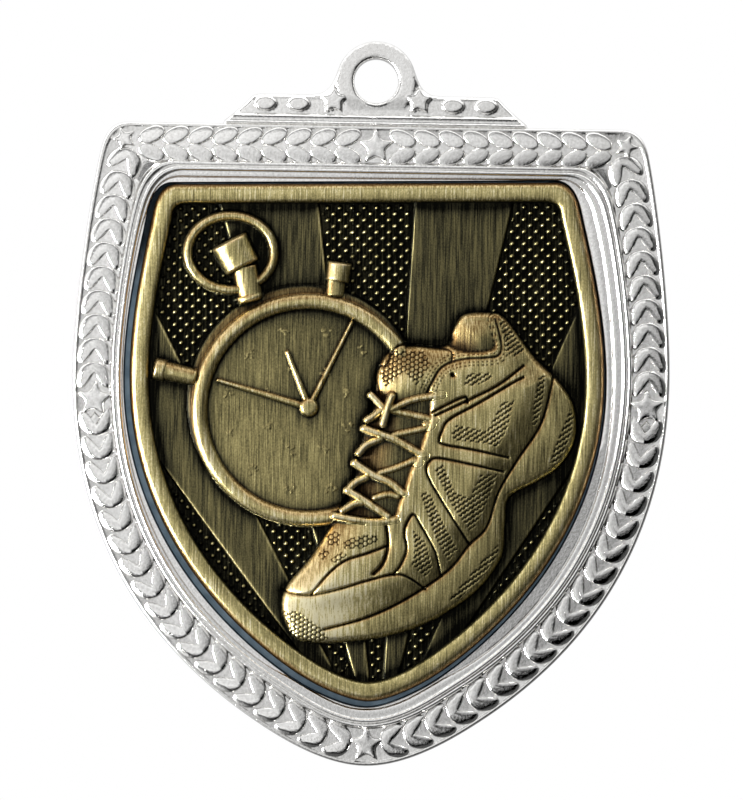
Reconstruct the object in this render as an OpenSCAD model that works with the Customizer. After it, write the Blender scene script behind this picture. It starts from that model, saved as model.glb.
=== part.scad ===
// Sports finisher medal: a shield-shaped holder with a wreath border and a hanging loop,
// a relief insert with a stopwatch and a running shoe, and the adhesive pad between them.
// Millimetres. +Z up as the medal hangs, the face looks towards -Y,
// and the origin is the centre of the loop hole.

/* [Shield] */
// Width of the shield at its widest point
shield_w = 67.6; // [62:0.2:74]
// Distance from the loop hole's centre down to the shield's tip
tip_drop = 77.6; // [76:0.2:80]
// Thickness of the holder's plain edge, the tab and the loop
plate_t = 2.4; // [2.2:0.1:3]

/* [Loop] */
// Diameter of the loop hole
hole_d = 5; // [4:0.1:5.6]
// Outer diameter of the loop
loop_d = 9; // [8.4:0.1:9.6]

/* [Wreath] */
// Height of the leaves' base above the back
wreath_h = 2.8; // [2.6:0.1:3]
// Height of a leaf above its base
leaf_h = 0.5; // [0.3:0.1:0.8]
// Length of a leaf
leaf_l = 2.7; // [2.2:0.1:2.8]
// Width of a leaf
leaf_w = 1.5; // [1.2:0.1:1.6]
// Height of the two thin moulding lines above the back
moulding_h = 3.4; // [3:0.1:3.8]

/* [Pocket and insert] */
// Height of the pocket's floor above the back
pocket_floor = 1; // [0.8:0.1:1.2]
// Thickness of the adhesive pad
pad_t = 0.25; // [0.15:0.05:0.4]
// Clearance between the insert and the pocket's wall
pocket_gap = 0.45; // [0.4:0.05:0.6]
// Thickness of the insert under its dotted fields
insert_t = 1.1; // [0.9:0.1:1.3]
// Width of the insert's raised rim
rim_w = 2.4; // [2:0.1:2.8]
// Height of the rim above the dotted fields
rim_rise = 1.2; // [0.9:0.1:1.4]
// Turn of the insert in its pocket, in degrees
insert_turn = 1.2; // [0:0.1:1.2]

/* [Relief] */
// Rise of the smooth rays above the dotted fields
ray_rise = 0.3; // [0.2:0.05:0.5]
// Outer radius of the stopwatch's bezel
bezel_r = 13.2; // [12.6:0.1:13.3]
// Width of the stopwatch's bezel
bezel_w = 1.9; // [1.4:0.1:2.2]
// Rise of the bezel above the dotted fields
bezel_rise = 1.4; // [1:0.1:1.6]
// Rise of the shoe's sole above the dotted fields
sole_rise = 1.2; // [0.9:0.1:1.5]
// Rise of the shoe's upper above its sole
upper_rise = 0.7; // [0.4:0.1:1]

/* [Hidden] */
$fn = 64;

back_y = plate_t / 2;
silver = [0.86, 0.87, 0.88];
antique_gold = [0.55, 0.49, 0.31];
pad_grey = [0.75, 0.77, 0.78];

// Height of each level of the insert above the holder's back
insert_back = pocket_floor + pad_t;
field_h = insert_back + insert_t;
ray_h = field_h + ray_rise;
sink = 0.2;

// Right half of the holder's outline, from the top edge to the tip. Each entry is a control
// point of joined cubic curves, then the direction in which it moves when the outline is inset.
kx = shield_w / 67.6;
kz = tip_drop / 77.6;
HOLDER = [
    [28.0, -5.1, 1.2, 1.0], [29.8, -5.1, 1.1, 1.0], [30.6, -6.4, 1.0, 1.1],
    [31.0, -8.0, 0.95, 1.2], [32.2, -13.5, 0.98, 0.8], [33.8, -25.9, 1.0, 0.2],
    [33.8, -33.3, 1.0, 0.0], [33.8, -50.0, 1.0, -0.35], [26.6, -63.3, 0.82, -0.62],
    [12.8, -72.5, 0.55, -0.84], [9.8, -74.5, 0.5, -0.88], [4.8, -77.6, 0.2, -1.0],
    [0.0, -77.6, 0.0, -1.0]];

// Right half of the insert's outline, in the same form
INSERT = [
    [21.4, -11.6, 0.6, 1.0], [23.0, -11.6, 0.5, 1.0], [23.8, -12.9, 0.85, 0.8],
    [24.2, -15.0, 0.98, 0.3], [25.4, -20.5, 0.98, 0.2], [26.9, -26.9, 1.0, 0.1],
    [26.9, -33.8, 1.0, 0.0], [26.9, -50.1, 1.0, -0.3], [16.4, -61.3, 0.75, -0.65],
    [8.5, -66.8, 0.57, -0.82], [6.2, -68.4, 0.5, -0.86], [2.4, -70.3, 0.1, -1.0],
    [0.0, -70.3, 0.0, -1.0]];

// Places of the insert and of its pocket in the shield
insert_centre = [-0.35, -40];
pocket_shift = [-0.25, -0.25];

// Widths, measured inwards from the outline, at which the holder's border changes
band_out = 0.5;
band_in = 4.4;
ridge_in = 5.4;
bevel_mid = 5.9;
bevel_in = 6.4;
bevel_h = 3.1;
ledge_h = 2.4;
leaf_line = 2.45;

// Radius of the wreath's stars and how far they stand above the leaves
star_r = 1.9;
star_lift = 0.1;

// Radius and place of the right corner's smaller star
corner_star_r = 1.3;
corner_star = [28.4, -7.05];

// Cubic curve through a and e with controls b and c, without its last point
function bezier(a, b, c, e, n) = [for (i = [0 : n - 1]) let (t = i / n)
    a * pow(1 - t, 3) + b * 3 * t * pow(1 - t, 2) + c * 3 * t * t * (1 - t) + e * pow(t, 3)];

// Control points of an outline, inset by d and scaled
function controls(shape, d, sx, sz) = [for (q = shape) [(q[0] - q[2] * d) * sx, (q[1] - q[3] * d) * sz]];

// Points of the right half of an outline, from the top edge to the tip
function half(c) = concat(
    bezier(c[0], c[1], c[2], c[3], 5),
    bezier(c[3], c[4], c[5], c[6], 8),
    bezier(c[6], c[7], c[8], c[9], 12),
    bezier(c[9], c[10], c[11], c[12], 7),
    [c[12]]);

// Whole outline: the right half, then the left half back up without a second tip
function both(h) = concat(h, [for (i = [len(h) - 2 : -1 : 0]) [-h[i][0], h[i][1]]]);

function holder_outline(d) = both(half(controls(HOLDER, d, kx, kz)));
function insert_outline(d) = both(half(controls(INSERT, d, 1, 1)));

// Closed smooth line through a few points
function smooth(p, n) = let (m = len(p)) [for (i = [0 : m - 1], j = [0 : n - 1])
    let (t = j / n, a = p[(i + m - 1) % m], b = p[i], c = p[(i + 1) % m], e = p[(i + 2) % m])
    0.5 * ((2 * b) + (c - a) * t + (2 * a - 5 * b + 4 * c - e) * t * t
        + (3 * b - a - 3 * c + e) * pow(t, 3))];

// Path of the wreath's middle line from the top centre round to the tip, with its length so far
leaf_path = concat([[0, HOLDER[0][1] - leaf_line]], half(controls(HOLDER, leaf_line, kx, kz)));
function run(i) = i == 0 ? 0 : run(i - 1) + norm(leaf_path[i] - leaf_path[i - 1]);
path_x = [for (i = [0 : len(leaf_path) - 1]) [run(i), leaf_path[i][0]]];
path_z = [for (i = [0 : len(leaf_path) - 1]) [run(i), leaf_path[i][1]]];
path_end = run(len(leaf_path) - 1);
function on_path(s) = [lookup(s, path_x), lookup(s, path_z)];
function heading(s) = let (v = on_path(s + 0.2) - on_path(s - 0.2)) atan2(v[1], v[0]);

// Path length at the star on the widest part
middle_s = 56.4;

// Runs of leaf pairs between the stars: start and end on the path, pairs, and which way they open
LEAF_RUNS = [[1.6, 26.4, 9, -1], [27.9, 54.8, 10, 1], [57.9, path_end - 2, 18, -1]];

function oval(l, w, turn = 30) = [for (a = [0 : turn : 359]) [l / 2 * cos(a), w / 2 * sin(a)]];
function star(r) = [for (i = [0 : 9]) (i % 2 == 0 ? r : 0.5 * r) * [sin(36 * i), cos(36 * i)]];
function wedge(a0, a1, r) = [[0, 0], [r * sin(a0), r * cos(a0)], [r * sin(a1), r * cos(a1)]];

// Puts a drawing made in X and Y, with its heights in Z, upright on the medal's back plane
module upright() {
    translate([0, back_y, 0])
        rotate([90, 0, 0])
            children();
}

// Slab with the given outline between two heights above the back
module slab(outline, low, high) {
    translate([0, 0, low])
        linear_extrude(high - low)
            polygon(outline);
}

// Ring between two outlines
module band(outer, inner, low, high) {
    difference() {
        slab(outer, low, high);
        slab(inner, low - 1, high + 1);
    }
}

// One leaf pair, spread on both sides of the middle line; turn is 1 or -1 for its direction
module leaf_pair(s, turn) {
    p = on_path(s);
    spread = 28;
    offset_side = 0.98;
    for (side = [-1, 1])
        translate([p[0], p[1], 0])
            rotate(heading(s))
                translate([0, side * offset_side, 0])
                    rotate(turn * side * spread)
                        slab(oval(leaf_l, leaf_w), wreath_h - sink, wreath_h + leaf_h);
}

// Leaf pairs spread evenly over a run
module leaf_run(run) {
    step = (run[1] - run[0]) / run[2];
    for (i = [0 : run[2] - 1])
        leaf_pair(run[0] + (i + 0.5) * step, run[3]);
}

module wreath_star(p, r) {
    translate([p[0], p[1], 0])
        slab(star(r), wreath_h - sink, wreath_h + leaf_h + star_lift);
}

module half_wreath() {
    for (run = LEAF_RUNS)
        leaf_run(run);
    wreath_star(corner_star, corner_star_r);
    wreath_star(on_path(middle_s), star_r);
}

// Tab and loop above the shield
module tab() {
    tab_top = -1.65;
    tab_half = 13.3;
    foot_half = 17.2;
    foot_z = HOLDER[0][1] * kz;
    neck_half = 6.4;
    fillet_r = 1.9;
    overlap = 0.4;
    foot_step = 0.15;
    shoulder = [1.2, -0.75];
    half_tab = [[foot_half, foot_z - overlap], [foot_half, foot_z + foot_step],
        [tab_half, tab_top] + shoulder, [tab_half, tab_top]];
    slab(concat(half_tab, [for (i = [3 : -1 : 0]) [-half_tab[i][0], half_tab[i][1]]]), 0, plate_t);
    cylinder(d = loop_d, h = plate_t);
    difference() {
        translate([0, tab_top + (fillet_r - overlap) / 2, plate_t / 2])
            cube([2 * neck_half, fillet_r + overlap, plate_t], center = true);
        for (side = [-1, 1])
            translate([side * neck_half, tab_top + fillet_r, -1])
                cylinder(r = fillet_r, h = plate_t + 2);
    }
}

// Small leaves, stars and two thin lines in relief on the tab
module tab_relief() {
    rise = 0.35;
    tab_leaf = [2.4, 1.5];
    leaf_row = -2.7;
    star_row = -2.25;
    star_x = 4.85;
    tab_star_r = 1.6;
    line_w = 0.35;
    line_half = 15.4;
    for (side = [-1, 1]) {
        for (x = [8.75, 12.5])
            translate([side * x, leaf_row, 0])
                slab(oval(tab_leaf[0], tab_leaf[1]), plate_t - sink, plate_t + rise);
        translate([side * star_x, star_row, 0])
            slab(star(tab_star_r), plate_t - sink, plate_t + rise);
    }
    for (z = [-4.15, -4.85])
        slab([[-line_half, z - line_w / 2], [-line_half, z + line_w / 2], [line_half, z + line_w / 2],
            [line_half, z - line_w / 2]], plate_t - sink, plate_t + rise);
}

module holder() {
    color(silver) upright() difference() {
        union() {
            slab(holder_outline(0), 0, ledge_h);
            band(holder_outline(band_out), holder_outline(bevel_in), ledge_h - sink, wreath_h - sink);
            band(holder_outline(band_out), holder_outline(bevel_mid), ledge_h, wreath_h);
            band(holder_outline(band_in), holder_outline(ridge_in), wreath_h - sink, moulding_h);
            band(holder_outline(ridge_in - sink), holder_outline(bevel_mid), wreath_h - sink, bevel_h);
            half_wreath();
            mirror([1, 0, 0]) half_wreath();
            wreath_star(leaf_path[0], star_r);
            wreath_star(leaf_path[len(leaf_path) - 1], star_r);
            tab();
            tab_relief();
        }
        translate([insert_centre[0] + pocket_shift[0], insert_centre[1] + pocket_shift[1], 0])
            rotate(insert_turn)
                translate([0, -insert_centre[1], 0])
                    slab(insert_outline(-pocket_gap), pocket_floor, moulding_h + 1);
        translate([0, 0, -1])
            cylinder(d = hole_d, h = plate_t + 2);
    }
}

// Puts a drawing centred on the shield's axis where the insert lies
module in_pocket() {
    translate([insert_centre[0], insert_centre[1], 0])
        rotate(insert_turn)
            translate([0, -insert_centre[1], 0])
                children();
}

// Raised smooth rays that fan out from a point near the tip
module rays() {
    fan = [1.5, -76.9];
    reach = 75;
    ray_width = 9.8;
    intersection() {
        union() {
            for (start = [-37.2, -16.9, 2.9, 22.9])
                translate([fan[0], fan[1], 0])
                    slab(wedge(start, start + ray_width, reach), field_h - sink, ray_h);
        }
        in_pocket() slab(insert_outline(rim_w - sink), 0, ray_h + 1);
    }
}

// Centres of the stopwatch's bezel, of its case below it and of its hands, and the hands' tips
watch = [-7.1, -37.4];
case_centre = [-7.5, -36.6];
hub = [-7, -37.1];
HANDS = [[-17.3, -34.2], [-9.5, -31], [-2.3, -27.5]];

// Outline of a straight bar with round ends, from a to b
function bar_outline(a, b, w) =
    let (v = b - a, turn = atan2(v[1], v[0]))
    concat(
        [for (t = [90 : 20 : 270]) a + w / 2 * [cos(turn + t), sin(turn + t)]],
        [for (t = [-90 : 20 : 90]) b + w / 2 * [cos(turn + t), sin(turn + t)]]);

// Outline of a straight bar with square ends
function block_outline(a, b, w) =
    let (v = (b - a) / norm(b - a), side = w / 2 * [-v[1], v[0]])
    [a + side, b + side, b - side, a - side];

module bar(a, b, w, low, high) {
    slab(bar_outline(a, b, w), low, high);
}

// Upper half of a cylinder that lies on the dotted field from a to b
module barrel(a, b, d) {
    v = b - a;
    margin = 0.5;
    intersection() {
        slab(block_outline(a, b, d + margin), field_h - sink, field_h + d);
        translate([a[0], a[1], field_h])
            rotate([0, 0, atan2(v[1], v[0])])
                rotate([0, 90, 0])
                    translate([0, 0, -margin])
                        cylinder(d = d, h = norm(v) + 2 * margin);
    }
}

// Case of the stopwatch, with the bezel round its sunk dial
module watch_case(dial_h) {
    case_rise = 0.75;
    case_margin = 0.2;
    bezel_h = field_h + bezel_rise;
    translate([watch[0], watch[1], field_h - sink])
        cylinder(r = bezel_r - sink, h = dial_h - field_h + sink);
    difference() {
        union() {
            translate([case_centre[0], case_centre[1], field_h - sink])
                cylinder(r = bezel_r + case_margin, h = case_rise + sink);
            translate([watch[0], watch[1], field_h - sink])
                cylinder(r = bezel_r, h = bezel_h - field_h + sink);
        }
        translate([watch[0], watch[1], 0])
            cylinder(r = bezel_r - bezel_w, h = bezel_h + 1);
    }
}

// Crown with its stem and bow, and the two pushers
module crown_and_pushers() {
    bow_centre = [-16.15, -19.75];
    bow_l = 11;
    bow_w = 9.6;
    wire = 1.2;
    bow_rise = 1.1;
    translate([bow_centre[0], bow_centre[1], 0])
        band(oval(bow_l, bow_w, 10), oval(bow_l - 2 * wire, bow_w - 2 * wire, 10),
            field_h - sink, field_h + bow_rise);
    barrel([-14.7, -21.5], [-16.4, -18.3], 4.2);
    barrel([-14.8, -20.5], [-13.75, -25.2], 3);
    barrel([-4.05, -22.9], [-3.75, -20.6], 2.8);
    barrel([-4.35, -25], [-4.1, -22.5], 2.3);
    barrel([-19.9, -33.9], [-24.4, -33], 2.3);
}

// Stopwatch: case, bezel, dial, hands, crown with its bow, and two pushers
module stopwatch() {
    dial_h = field_h + 0.5;
    hand_w = 0.7;
    hand_rise = 0.4;
    hub_r = 1.05;
    hub_rise = 0.6;
    watch_case(dial_h);
    for (tip = HANDS)
        bar(hub, tip, hand_w, dial_h - sink, dial_h + hand_rise);
    translate([hub[0], hub[1], dial_h - sink])
        cylinder(r = hub_r, h = hub_rise + sink);
    crown_and_pushers();
}

SHOE = [
    [8.3, -29.8], [9.2, -27.8], [10.4, -26.2], [13.6, -26.0], [15.2, -26.8], [18.5, -31.0],
    [21.4, -33.8], [23.1, -36.6], [23.3, -40.2], [21.6, -43.3], [18.8, -45.3], [15.9, -47.0],
    [15.5, -50.0], [15.1, -53.8], [12.0, -58.0], [6.5, -61.5], [0.5, -63.3], [-7.2, -63.7],
    [-9.4, -61.3], [-9.5, -57.8], [-6.6, -54.0], [-4.2, -50.0], [-2.2, -46.5], [-0.9, -40.5],
    [0.3, -36.0], [0.6, -32.6], [2.2, -30.4], [5.0, -29.8]];

UPPER = [
    [9.6, -29.6], [10.9, -27.0], [13.6, -27.0], [17.6, -31.6], [20.3, -34.0], [18.6, -40.0],
    [15.6, -44.3], [13.4, -50.8], [10.9, -52.3], [6.2, -57.4], [0.5, -58.2], [-6.4, -58.2],
    [-8.2, -57.0], [-3.4, -50.2], [-1.2, -46.0], [1.4, -36.0], [3.2, -31.0], [6.4, -31.0]];

// Ends of the laces, each from the shoe's far edge to the near one
LACES = [
    [[-3.8, -49.5], [2.6, -50.1]], [[-2.4, -46.3], [2.2, -49.2]], [[-1.7, -43.6], [3.8, -46.4]],
    [[-0.6, -39.5], [5.2, -41.9]], [[-1.4, -42.2], [1.0, -40.6]], [[2.0, -40.2], [6.4, -39.3]],
    [[0.9, -44.6], [5.0, -43.2]], [[0.2, -35.8], [5.8, -38.2]], [[-0.2, -38.2], [7.6, -35.6]]];

// Running shoe: sole, upper and laces
module shoe() {
    sole_h = field_h + sole_rise;
    upper_h = sole_h + upper_rise;
    lace_w = 0.75;
    lace_rise = 0.25;
    slab(smooth(SHOE, 3), field_h - sink, sole_h);
    slab(smooth(UPPER, 3), sole_h - sink, upper_h);
    for (lace = LACES)
        bar(lace[0], lace[1], lace_w, sole_h - sink, upper_h + lace_rise);
}

module insert() {
    color(antique_gold) upright() {
        in_pocket() {
            slab(insert_outline(0), insert_back, field_h);
            band(insert_outline(0), insert_outline(rim_w), field_h - sink, field_h + rim_rise);
        }
        rays();
        stopwatch();
        shoe();
    }
}

module adhesive_pad() {
    pad_margin = 1.5;
    color(pad_grey) upright()
        in_pocket() slab(insert_outline(pad_margin), pocket_floor, insert_back);
}

holder();
insert();
adhesive_pad();
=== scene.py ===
import math

import bmesh
import bpy
import numpy as np
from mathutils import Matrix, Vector
from mathutils.geometry import delaunay_2d_cdt


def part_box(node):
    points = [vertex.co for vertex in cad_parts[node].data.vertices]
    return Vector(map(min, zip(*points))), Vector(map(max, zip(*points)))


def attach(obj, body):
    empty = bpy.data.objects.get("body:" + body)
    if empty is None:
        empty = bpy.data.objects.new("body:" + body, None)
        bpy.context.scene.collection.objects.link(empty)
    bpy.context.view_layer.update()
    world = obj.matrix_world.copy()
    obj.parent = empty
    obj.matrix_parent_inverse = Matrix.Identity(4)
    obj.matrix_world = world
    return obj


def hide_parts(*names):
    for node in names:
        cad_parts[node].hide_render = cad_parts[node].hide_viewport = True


# Sports finisher medal: a plated shield with a wreath border and a loop, and an antique gold
# insert with a stopwatch and a running shoe in relief.
# Drawings are in millimetres: x to the right and z up from the loop hole's centre, and h, the
# height above the medal's back. The face looks towards -Y.

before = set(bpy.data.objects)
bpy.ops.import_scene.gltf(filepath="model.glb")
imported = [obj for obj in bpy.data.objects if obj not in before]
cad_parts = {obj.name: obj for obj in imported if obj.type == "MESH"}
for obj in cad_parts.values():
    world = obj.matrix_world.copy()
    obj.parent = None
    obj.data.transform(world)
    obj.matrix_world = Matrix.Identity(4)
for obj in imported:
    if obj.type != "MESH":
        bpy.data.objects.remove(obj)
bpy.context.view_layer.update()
BACK_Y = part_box("holder")[1].y * 1000.0
rng = np.random.default_rng(7)

# Right half of the holder's and the insert's outline, from the top edge to the tip: control
# points of joined cubic curves, each with the direction in which an inset moves it.
HOLDER = np.array([
    [28.0, -5.1, 1.2, 1.0], [29.8, -5.1, 1.1, 1.0], [30.6, -6.4, 1.0, 1.1],
    [31.0, -8.0, 0.95, 1.2], [32.2, -13.5, 0.98, 0.8], [33.8, -25.9, 1.0, 0.2],
    [33.8, -33.3, 1.0, 0.0], [33.8, -50.0, 1.0, -0.35], [26.6, -63.3, 0.82, -0.62],
    [12.8, -72.5, 0.55, -0.84], [9.8, -74.5, 0.5, -0.88], [4.8, -77.6, 0.2, -1.0],
    [0.0, -77.6, 0.0, -1.0]])
INSERT = np.array([
    [21.4, -11.6, 0.6, 1.0], [23.0, -11.6, 0.5, 1.0], [23.8, -12.9, 0.85, 0.8],
    [24.2, -15.0, 0.98, 0.3], [25.4, -20.5, 0.98, 0.2], [26.9, -26.9, 1.0, 0.1],
    [26.9, -33.8, 1.0, 0.0], [26.9, -50.1, 1.0, -0.3], [16.4, -61.3, 0.75, -0.65],
    [8.5, -66.8, 0.57, -0.82], [6.2, -68.4, 0.5, -0.86], [2.4, -70.3, 0.1, -1.0],
    [0.0, -70.3, 0.0, -1.0]])
SEGMENT_STEPS = (14, 24, 44, 20)
TOP_STEPS = 20

# The insert lies slightly turned in its pocket
INSERT_CENTRE = np.array([-0.35, -40.0])
POCKET_SHIFT = np.array([-0.25, -0.25])
INSERT_TURN = math.radians(1.2)
POCKET_GAP = 0.45

# Heights above the back
POCKET_FLOOR = 1.0
INSERT_BACK = 1.25
FIELD_H = 2.35
RAY_H = 2.65
DIAL_H = 2.85
RIM_W = 2.4
LEAF_LINE = 2.42
BAND_H = 2.62


# Curves

def cubic(a, b, c, e, count):
    """Points on a cubic curve, without its last point."""
    t = np.linspace(0.0, 1.0, count, endpoint=False)[:, None]
    return a * (1 - t) ** 3 + 3 * b * t * (1 - t) ** 2 + 3 * c * t * t * (1 - t) + e * t ** 3


def half_outline(table, inset):
    """Right half of an outline, from the top centre to the tip."""
    c = table[:, :2] - inset * table[:, 2:]
    x = np.linspace(0.0, c[0, 0], TOP_STEPS, endpoint=False)
    parts = [np.column_stack([x, np.full(TOP_STEPS, c[0, 1])])]
    for i, count in enumerate(SEGMENT_STEPS):
        parts.append(cubic(*c[3 * i:3 * i + 4], count))
    parts.append(c[-1:])
    return np.vstack(parts)


def outline(table, inset):
    """Whole outline, clockwise from the top centre."""
    right = half_outline(table, inset)
    left = right[-2:0:-1] * [-1.0, 1.0]
    return np.vstack([right, left])


def in_pocket(points, shift=(0.0, 0.0)):
    """Moves points drawn on the shield's axis to where the insert lies."""
    c, s = math.cos(INSERT_TURN), math.sin(INSERT_TURN)
    p = points - [0.0, INSERT_CENTRE[1]]
    turned = np.column_stack([c * p[:, 0] - s * p[:, 1], s * p[:, 0] + c * p[:, 1]])
    return turned + INSERT_CENTRE + shift


def insert_outline(inset):
    return in_pocket(outline(INSERT, inset))


def smooth_line(points, closed=False, steps=6):
    """Catmull-Rom curve through points."""
    p = np.array(points, dtype=float)
    if closed:
        p = np.vstack([p[-1:], p, p[:2]])
    else:
        p = np.vstack([2 * p[0] - p[1], p, 2 * p[-1] - p[-2]])
    t = np.linspace(0.0, 1.0, steps, endpoint=False)[:, None]
    parts = []
    for a, b, c, e in zip(p[:-3], p[1:-2], p[2:-1], p[3:]):
        cubic_part = (3 * b - a - 3 * c + e) * t ** 3 + (2 * a - 5 * b + 4 * c - e) * t ** 2
        parts.append(0.5 * (2 * b + (c - a) * t + cubic_part))
    if not closed:
        parts.append(p[-2:-1])
    return np.vstack(parts)


def line_distance(points, x, z):
    """Distance to a polyline, and how far along it the nearest point lies, from 0 to 1."""
    best = np.full(x.shape, 1e9)
    along = np.zeros(x.shape)
    spans = len(points) - 1
    for i in range(spans):
        a = points[i]
        v = points[i + 1] - a
        t = np.clip(((x - a[0]) * v[0] + (z - a[1]) * v[1]) / max(v @ v, 1e-12), 0.0, 1.0)
        d = np.hypot(x - a[0] - t * v[0], z - a[1] - t * v[1])
        nearer = d < best
        best = np.where(nearer, d, best)
        along = np.where(nearer, (i + t) / spans, along)
    return best, along


def is_inside(points, x, z):
    odd = np.zeros(x.shape, dtype=bool)
    for a, b in zip(points, np.roll(points, -1, axis=0)):
        if a[1] != b[1]:
            spans = (a[1] > z) != (b[1] > z)
            odd ^= spans & (x < (b[0] - a[0]) * (z - a[1]) / (b[1] - a[1]) + a[0])
    return odd


def depth_in(points, x, z):
    """Distance from a closed outline, positive inside it."""
    closed = np.vstack([points, points[:1]])
    d = line_distance(closed, x, z)[0]
    return np.where(is_inside(points, x, z), d, -d)


def step(value, low, high):
    """Smooth rise from 0 at low to 1 at high."""
    t = np.clip((value - low) / (high - low), 0.0, 1.0)
    return t * t * (3 - 2 * t)


def shoulder(depth, width):
    """Rounded rise from 0 at depth 0 to 1 at depth width."""
    t = np.clip(depth / width, 0.0, 1.0)
    return np.sqrt(1 - (1 - t) ** 2)


def star_points(centre, radius, turn=0.0, inner=0.56):
    a = np.radians(turn) + np.arange(10) * math.pi / 5
    r = np.where(np.arange(10) % 2 == 0, radius, radius * inner)
    return np.array(centre) + np.column_stack([r * np.sin(a), r * np.cos(a)])


# Meshes

def to_world(points):
    p = np.asarray(points, dtype=float)
    return np.column_stack([p[:, 0], BACK_Y - p[:, 2], p[:, 1]]) / 1000.0


def at_height(points, h):
    return np.column_stack([points, np.full(len(points), h)])


def new_object(name, points, faces, materials, stands_for):
    """A piece of the object from drawing points and faces."""
    mesh = bpy.data.meshes.new(name)
    mesh.from_pydata(to_world(points).tolist(), [], [list(f) for f in faces])
    mesh.shade_smooth()
    for item in materials:
        mesh.materials.append(item)
    obj = bpy.data.objects.new(name, mesh)
    bpy.context.scene.collection.objects.link(obj)
    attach(obj, "root")
    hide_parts(stands_for)
    return obj


def set_attribute(mesh, name, values):
    layer = mesh.attributes.new(name, "FLOAT", "POINT")
    layer.data.foreach_set("value", np.asarray(values, dtype=np.float32))


def face_outwards(mesh):
    bm = bmesh.new()
    bm.from_mesh(mesh)
    bmesh.ops.recalc_face_normals(bm, faces=bm.faces)
    bm.to_mesh(mesh)
    bm.free()


def finish_metal(obj, degrees):
    """Turns the faces outwards and keeps edges sharper than an angle crisp."""
    face_outwards(obj.data)
    obj.data.set_sharp_from_angle(angle=math.radians(degrees))


def wall_faces(first, second, count):
    """Quads between two rings of points that start at the given indices."""
    i = np.arange(count)
    j = (i + 1) % count
    return np.column_stack([first + i, first + j, second + j, second + i]).tolist()


def loft(rings, closed=False):
    """Points and faces through rings of equal length: capped at both ends, or joined round."""
    count = len(rings[0])
    starts = [k * count for k in range(len(rings))]
    faces = []
    for a, b in zip(starts[:-1], starts[1:]):
        faces += wall_faces(a, b, count)
    if closed:
        faces += wall_faces(starts[-1], starts[0], count)
    else:
        faces.append(list(range(count)))
        faces.append(list(range(starts[-1], starts[-1] + count)))
    return np.vstack(rings), faces


# Holder

# Inset from the shield's edge and height above the back, from the back round to the leaf band,
# over the two moulding lines
EDGE_PROFILE = (
    (0.45, 0.0), (0.2, 0.05), (0.05, 0.2), (0.0, 0.45), (0.0, 2.2), (0.03, 2.42), (0.1, 2.6),
    (0.2, 2.7), (0.31, 2.72), (0.42, 2.66), (0.5, BAND_H - 0.02), (0.6, BAND_H - 0.06),
    (2.4, BAND_H - 0.02), (4.18, BAND_H - 0.06), (4.28, 2.72), (4.36, 3.0), (4.44, 3.18),
    (4.54, 3.26), (4.66, 3.25), (4.76, 3.15), (4.83, 3.05), (4.9, 3.06), (4.98, 3.2),
    (5.08, 3.32), (5.2, 3.34), (5.31, 3.26), (5.4, 3.12))
# The smooth bevel, the thin groove and the ledge, measured on from the last line above
BEVEL_START = 5.4
BEVEL_PROFILE = (
    (0.1, 3.1), (0.3, 3.1), (0.55, 3.095), (0.8, 3.08), (0.94, 3.03), (1.02, 2.86), (1.08, 2.7),
    (1.16, 2.66), (1.26, 2.67), (1.45, 2.67))
POCKET_RIM = 0.04
# The pocket's wall: height of its plated part, and the bend into the floor, up and inwards
POCKET_WALL_H = 1.6
POCKET_BEND = (0.12, 0.1)


def bevel_rings(pocket):
    """Rings from the moulding towards the pocket, cut short where the pocket comes nearer."""
    start = outline(HOLDER, BEVEL_START)
    reach = pocket - start
    length = np.linalg.norm(reach, axis=1)
    direction = reach / length[:, None]
    known_d = [0.0] + [p[0] for p in BEVEL_PROFILE] + [9.0]
    known_h = [EDGE_PROFILE[-1][1]] + [p[1] for p in BEVEL_PROFILE] + [BEVEL_PROFILE[-1][1]]
    rings = []
    steps_left = len(BEVEL_PROFILE)
    for d, _ in BEVEL_PROFILE:
        limit = length - POCKET_RIM - 0.012 * steps_left
        steps_left -= 1
        far = np.minimum(d, np.maximum(limit, 0.005))
        rings.append(np.column_stack([start + direction * far[:, None],
                                      np.interp(far, known_d, known_h)]))
    edge = np.interp(np.maximum(length - POCKET_RIM, 0.0), known_d, known_h)
    rings.append(np.column_stack([pocket - direction * POCKET_RIM, edge]))
    rings.append(np.column_stack([pocket, edge - POCKET_RIM]))
    return rings


def build_shield(silver, pocket_shade):
    pocket = in_pocket(outline(INSERT, -POCKET_GAP), POCKET_SHIFT)
    rings = [at_height(outline(HOLDER, d), h) for d, h in EDGE_PROFILE]
    rings += bevel_rings(pocket)
    wall_start = len(rings) - 1
    up, inwards = POCKET_BEND
    inner = in_pocket(outline(INSERT, inwards - POCKET_GAP), POCKET_SHIFT)
    rings += [at_height(pocket, POCKET_WALL_H), at_height(pocket, POCKET_FLOOR + up),
              at_height(inner, POCKET_FLOOR)]
    points, faces = loft(rings)
    obj = new_object("shield", points, faces, [silver, pocket_shade], "holder")
    ring_size = len(rings[0])
    # The pocket's wall and floor take the painted shade material
    for face in obj.data.polygons:
        if min(face.vertices) >= wall_start * ring_size:
            face.material_index = 1
    finish_metal(obj, 50)


# Half of a leaf pair of the side and lower wreath, apex first: along the path, then across it
PAIR_HALF = ((0.0, 0.0), (-0.12, 0.7), (-0.5, 1.35), (-1.15, 1.85), (-1.95, 2.06),
             (-2.65, 1.95), (-3.0, 1.6), (-2.85, 1.15), (-2.2, 0.62), (-1.3, 0.05))
PAIR_SPINE = np.array([[-2.35, -1.5], [-1.5, -1.05], [-0.66, -0.4], [-0.66, 0.4], [-1.5, 1.05],
                       [-2.35, 1.5]])
# Share of the leaf's outline kept, and height, from the foot to the middle of its rounded top
LEAF_RINGS = ((1.1, -0.2), (1.05, 0.2), (1.01, 0.38), (0.95, 0.47), (0.87, 0.52), (0.75, 0.555),
              (0.6, 0.585), (0.45, 0.605), (0.3, 0.62), (0.15, 0.625))
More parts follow.
